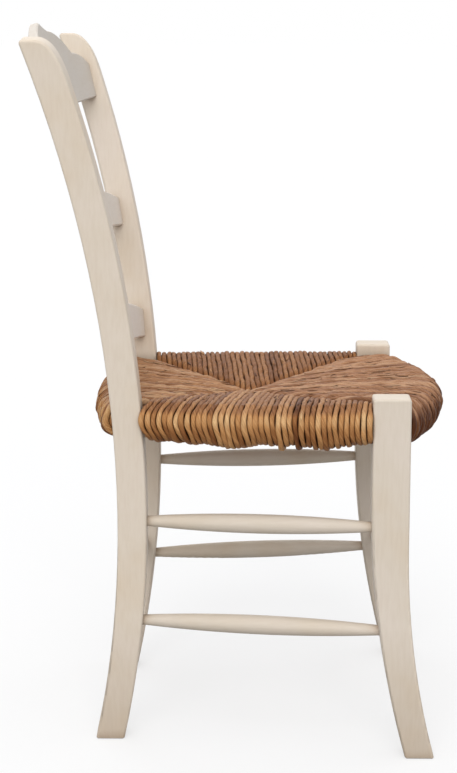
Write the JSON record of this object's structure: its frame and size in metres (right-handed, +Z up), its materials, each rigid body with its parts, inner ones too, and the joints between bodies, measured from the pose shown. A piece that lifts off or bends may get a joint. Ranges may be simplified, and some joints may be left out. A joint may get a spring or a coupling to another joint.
{
  "type": "side chair",
  "caption": "Ladder-back side chair with swept legs, bowed scalloped crest rail and arched slats, turned stretchers and a woven rush seat.",
  "frame": {"origin": "on the floor, in the middle of the chair's width and of its overall depth", "axes": "+Z up, -Y the way the sitter faces, +X to the sitter's left"},
  "size_m": [0.485, 0.529, 0.8954],
  "materials": {
    "painted_wood": "matt antique-white paint with brush marks over wood",
    "bare_wood": "unpainted, under the rush",
    "rush": "twisted natural rush cord",
    "straw": "loose packed straw"
  },
  "bodies": {
    "root": {"front_leg_left": "painted_wood", "front_leg_right": "painted_wood", "rear_post_left": "painted_wood", "rear_post_right": "painted_wood", "crest_rail": "painted_wood", "upper_slat": "painted_wood", "lower_slat": "painted_wood", "front_seat_rail": "bare_wood", "rear_seat_rail": "bare_wood", "left_seat_rail": "bare_wood", "right_seat_rail": "bare_wood", "lower_left_stretcher": "painted_wood", "lower_right_stretcher": "painted_wood", "upper_left_stretcher": "painted_wood", "upper_right_stretcher": "painted_wood", "front_stretcher": "painted_wood", "rear_stretcher": "painted_wood", "rush_seat": "rush", "front_straw_pad": "straw", "rear_straw_pad": "straw", "left_straw_pad": "straw", "right_straw_pad": "straw"}
  },
  "joints": []
}
